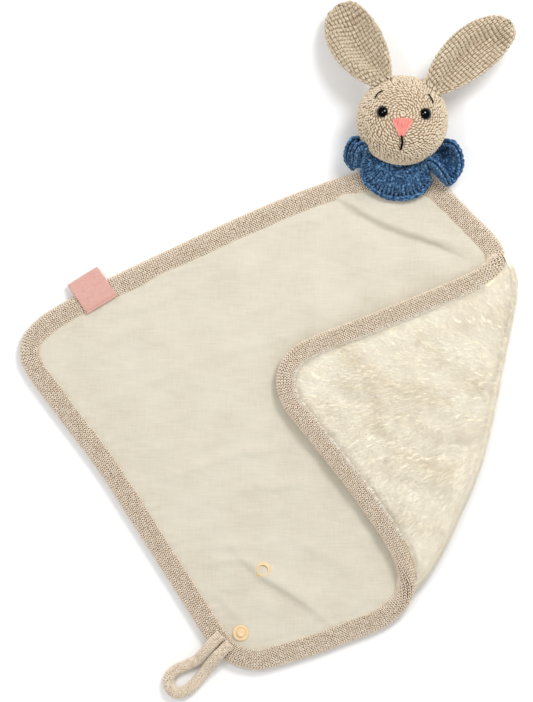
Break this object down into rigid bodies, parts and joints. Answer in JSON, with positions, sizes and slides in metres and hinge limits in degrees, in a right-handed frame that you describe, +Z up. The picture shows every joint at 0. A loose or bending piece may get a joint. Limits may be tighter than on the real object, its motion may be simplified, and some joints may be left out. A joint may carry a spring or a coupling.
{
  "type": "baby comforter",
  "caption": "Baby comforter: square muslin and plush blanket with knitted border, one corner folded over, a crocheted rabbit head on another, and a snap tab with cord loop.",
  "frame": {"origin": "middle of the blanket's diagonal from the head's corner to the loop's corner, on the surface that it lies on", "axes": "+X to the right and +Y towards the head as the blanket is seen from above, +Z up from the surface"},
  "size_m": [0.3394, 0.4878, 0.0659],
  "materials": {
    "muslin": "fine cream cotton muslin, matt",
    "plush": "ivory fleece with a short pile",
    "border": "oatmeal melange cotton knit",
    "snap": "cream plastic, soft gloss",
    "label": "smooth pink woven tape",
    "head_yarn": "beige cotton yarn, crocheted",
    "stuffing": "white polyester fibre",
    "eye": "black, high gloss",
    "washer": "white nylon",
    "nose": "coral satin stitch",
    "dark_thread": "black embroidery thread",
    "collar": "blue cotton yarn, crocheted"
  },
  "bodies": {
    "blanket": {"muslin_main": "muslin", "plush_main": "plush", "border_head_side": "border", "border_low_side": "border", "muslin_fold": "muslin", "plush_fold": "plush", "border_turn_low": "border", "border_turn_high": "border", "snap_socket": "snap", "snap_cap_upper": "snap", "label": "label", "collar_ruffle": "collar"},
    "flap": {"muslin_flap": "muslin", "plush_flap": "plush", "border_flap": "border"},
    "tab": {"muslin_tab": "muslin", "plush_tab": "plush", "border_tab": "border", "snap_stud": "snap", "snap_cap_lower": "snap", "loop_cord": "border"},
    "head": {"head_shell": "head_yarn", "head_stuffing": "stuffing", "eye_left": "eye", "eye_right": "eye", "eye_washer_left": "washer", "eye_washer_right": "washer", "nose": "nose", "mouth_stitch": "dark_thread", "brow_left": "dark_thread", "brow_right": "dark_thread"},
    "left_ear": {"ear_left": "head_yarn"},
    "right_ear": {"ear_right": "head_yarn"}
  },
  "joints": [
    {"name": "flap_open", "type": "hinge", "parent": "blanket", "child": "flap", "pos_m": [0.0698, -0.13629, 0.0086], "axis": [0.278, 0.9606, 0], "range_deg": [0, 179], "deforming": ["plush_fold", "muslin_fold", "border_turn_low", "border_turn_high"]},
    {"name": "snap_tab_fold", "type": "hinge", "parent": "blanket", "child": "tab", "pos_m": [-0.05013, -0.1292, 0.0086], "axis": [-0.9433, 0.3319, 0], "range_deg": [0, 179], "deforming": ["loop_cord"]},
    {"name": "head_nod", "type": "hinge", "parent": "blanket", "child": "head", "pos_m": [0.053, 0.1748, 0.0091], "axis": [0.9981, -0.0611, 0], "range_deg": [0, 50], "deforming": ["collar_ruffle"]},
    {"name": "ear_left_flop", "type": "hinge", "parent": "head", "child": "left_ear", "pos_m": [0.0411, 0.2347, 0.0402], "axis": [0.891, 0.454, 0], "range_deg": [0, 70]},
    {"name": "ear_right_flop", "type": "hinge", "parent": "head", "child": "right_ear", "pos_m": [0.0762, 0.2309, 0.0402], "axis": [0.6428, -0.766, 0], "range_deg": [0, 70]}
  ]
}
